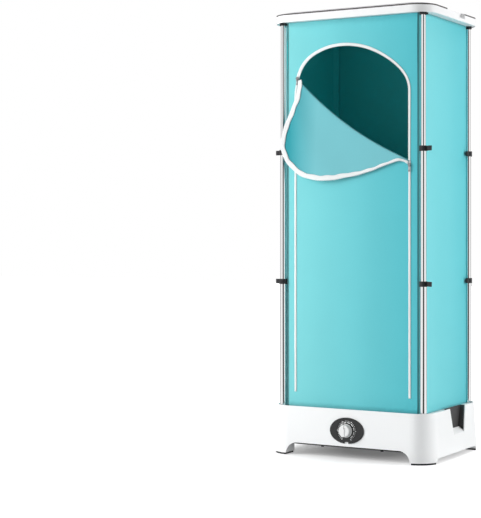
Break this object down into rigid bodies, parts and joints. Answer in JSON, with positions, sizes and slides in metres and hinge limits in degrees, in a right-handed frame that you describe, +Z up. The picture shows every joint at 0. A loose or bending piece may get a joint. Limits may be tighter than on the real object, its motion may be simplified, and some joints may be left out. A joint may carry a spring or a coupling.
{
  "type": "drying cabinet",
  "caption": "Free-standing warm-air drying cabinet with a white fan-heater base, a white lid, chromed telescopic poles and an aqua zip-door fabric cover",
  "frame": {"origin": "on the floor under the middle of the bounding box", "axes": "+Z up, the zip door and the dial face -Y, +X to the viewer's right"},
  "size_m": [0.5788, 0.4837, 1.467],
  "materials": {
    "white_shell": "smooth moulded white ABS, satin gloss",
    "black_plastic": "black nylon, fine matt grain",
    "chrome_pole": "bright chromed steel tube",
    "aqua_fabric": "coated woven polyester, light aqua",
    "white_zip": "white woven zip tape with coil teeth",
    "zip_metal": "die-cast zip slider, satin nickel",
    "dial_black": "glossy black printed plate",
    "knob_silver": "silver-white painted knob",
    "foot_rubber": "black moulded rubber",
    "steel": "zinc-plated steel",
    "duct_metal": "galvanised sheet duct",
    "rail_steel": "chromed steel rail",
    "fan_plastic": "dark grey glass-filled nylon",
    "heater_alloy": "bare aluminium fins",
    "liner_white": "plain white sheet plastic",
    "trim_dark": "dark grey elastic edging"
  },
  "bodies": {
    "base": {"base_housing": "white_shell", "top_deck": "liner_white", "outlet_grille": "black_plastic", "bottom_pan": "black_plastic", "foot_pads": "foot_rubber", "grip_cup_left": "black_plastic", "grip_cup_right": "black_plastic", "dial_plate": "dial_black", "timer_unit": "black_plastic", "fan_duct": "duct_metal", "motor_bracket": "steel", "fan_motor": "steel", "heater_core": "heater_alloy", "heater_frame": "duct_metal", "thermal_cutout": "steel", "cord_gland": "black_plastic", "pan_screws": "steel", "lower_tubes": "chrome_pole", "lower_collars": "black_plastic", "cover_front": "aqua_fabric", "cover_left": "aqua_fabric", "cover_right": "aqua_fabric", "cover_back": "aqua_fabric", "door_panel": "aqua_fabric", "door_flap": "aqua_fabric", "zip_arch": "white_zip", "zip_closed": "white_zip", "flap_zip": "white_zip"},
    "lid": {"lid_shell": "white_shell", "lid_trim": "trim_dark", "lid_liner": "liner_white", "liner_screws": "steel", "upper_tubes": "chrome_pole", "top_sockets": "black_plastic", "hanging_rail": "rail_steel", "rail_brackets": "black_plastic"},
    "middle_fl": {"middle_tube_fl": "chrome_pole", "upper_collar_fl": "black_plastic"},
    "middle_fr": {"middle_tube_fr": "chrome_pole", "upper_collar_fr": "black_plastic"},
    "middle_rl": {"middle_tube_rl": "chrome_pole", "upper_collar_rl": "black_plastic"},
    "middle_rr": {"middle_tube_rr": "chrome_pole", "upper_collar_rr": "black_plastic"},
    "slider_left": {"zip_slider_left": "zip_metal"},
    "pull_left": {"pull_tab_left": "zip_metal"},
    "slider_right": {"zip_slider_right": "zip_metal"},
    "pull_right": {"pull_tab_right": "zip_metal"},
    "lower_cam_fl": {"lower_lever_fl": "black_plastic"},
    "upper_cam_fl": {"upper_lever_fl": "black_plastic"},
    "lower_cam_fr": {"lower_lever_fr": "black_plastic"},
    "upper_cam_fr": {"upper_lever_fr": "black_plastic"},
    "lower_cam_rl": {"lower_lever_rl": "black_plastic"},
    "upper_cam_rl": {"upper_lever_rl": "black_plastic"},
    "lower_cam_rr": {"lower_lever_rr": "black_plastic"},
    "upper_cam_rr": {"upper_lever_rr": "black_plastic"},
    "knob": {"control_knob": "knob_silver", "timer_shaft": "steel"},
    "fan": {"fan_impeller": "fan_plastic"}
  },
  "joints": [
    {"name": "lid_slide", "type": "slide", "parent": "base", "child": "lid", "axis": [0, 0, 1], "range_m": [-0.82, 0], "deforming": ["cover_front", "cover_left", "cover_right", "cover_back", "door_panel", "door_flap", "zip_arch", "zip_closed", "flap_zip"]},
    {"name": "pole_slide_fl", "type": "slide", "parent": "base", "child": "middle_fl", "axis": [0, 0, 1], "range_m": [-0.41, 0]},
    {"name": "pole_slide_fr", "type": "slide", "parent": "base", "child": "middle_fr", "axis": [0, 0, 1], "range_m": [-0.41, 0]},
    {"name": "pole_slide_rl", "type": "slide", "parent": "base", "child": "middle_rl", "axis": [0, 0, 1], "range_m": [-0.41, 0]},
    {"name": "pole_slide_rr", "type": "slide", "parent": "base", "child": "middle_rr", "axis": [0, 0, 1], "range_m": [-0.41, 0]},
    {"name": "slider_drop_left", "type": "slide", "parent": "base", "child": "slider_left", "axis": [0, 0, 1], "range_m": [-0.6997, 0]},
    {"name": "pull_swing_left", "type": "hinge", "parent": "slider_left", "child": "pull_left", "pos_m": [-0.19742, -0.18715, 1.2431], "axis": [-1, 0, 0], "range_deg": [0, 170]},
    {"name": "slider_drop_right", "type": "slide", "parent": "base", "child": "slider_right", "axis": [0, 0, 1], "range_m": [-0.5098, 0]},
    {"name": "pull_swing_right", "type": "hinge", "parent": "slider_right", "child": "pull_right", "pos_m": [0.205, -0.18715, 0.9481], "axis": [-1, 0, 0], "range_deg": [0, 170]},
    {"name": "lower_lever_fl_swing", "type": "hinge", "parent": "base", "child": "lower_cam_fl", "pos_m": [-0.26913, -0.17135, 0.57], "axis": [0, 0, -1], "range_deg": [0, 90]},
    {"name": "upper_lever_fl_swing", "type": "hinge", "parent": "middle_fl", "child": "upper_cam_fl", "pos_m": [-0.26913, -0.17135, 0.999], "axis": [0, 0, -1], "range_deg": [0, 90]},
    {"name": "lower_lever_fr_swing", "type": "hinge", "parent": "base", "child": "lower_cam_fr", "pos_m": [0.27149, -0.18765, 0.57], "axis": [0, 0, 1], "range_deg": [0, 90]},
    {"name": "upper_lever_fr_swing", "type": "hinge", "parent": "middle_fr", "child": "upper_cam_fr", "pos_m": [0.27149, -0.18765, 0.999], "axis": [0, 0, 1], "range_deg": [0, 90]},
    {"name": "lower_lever_rl_swing", "type": "hinge", "parent": "base", "child": "lower_cam_rl", "pos_m": [-0.259, 0.18485, 0.57], "axis": [0, 0, -1], "range_deg": [0, 90]},
    {"name": "upper_lever_rl_swing", "type": "hinge", "parent": "middle_rl", "child": "upper_cam_rl", "pos_m": [-0.259, 0.18485, 0.999], "axis": [0, 0, -1], "range_deg": [0, 90]},
    {"name": "lower_lever_rr_swing", "type": "hinge", "parent": "base", "child": "lower_cam_rr", "pos_m": [0.259, 0.18485, 0.57], "axis": [0, 0, 1], "range_deg": [0, 90]},
    {"name": "upper_lever_rr_swing", "type": "hinge", "parent": "middle_rr", "child": "upper_cam_rr", "pos_m": [0.259, 0.18485, 0.999], "axis": [0, 0, 1], "range_deg": [0, 90]},
    {"name": "timer_turn", "type": "hinge", "parent": "base", "child": "knob", "pos_m": [0, -0.2151, 0.093], "axis": [0, 0.9983, -0.058], "range_deg": [0, 300]},
    {"name": "fan_spin", "type": "hinge", "parent": "base", "child": "fan", "pos_m": [0, 0.01085, 0.09], "axis": [0, 0, 1], "continuous": true}
  ],
  "couplings": [
    {"joint": "pole_slide_fl", "follows": "lid_slide", "ratio": 0.5},
    {"joint": "pole_slide_fr", "follows": "lid_slide", "ratio": 0.5},
    {"joint": "pole_slide_rl", "follows": "lid_slide", "ratio": 0.5},
    {"joint": "pole_slide_rr", "follows": "lid_slide", "ratio": 0.5},
    {"joint": "slider_drop_left", "follows": "lid_slide", "ratio": 0.8532},
    {"joint": "slider_drop_right", "follows": "lid_slide", "ratio": 0.6216}
  ]
}
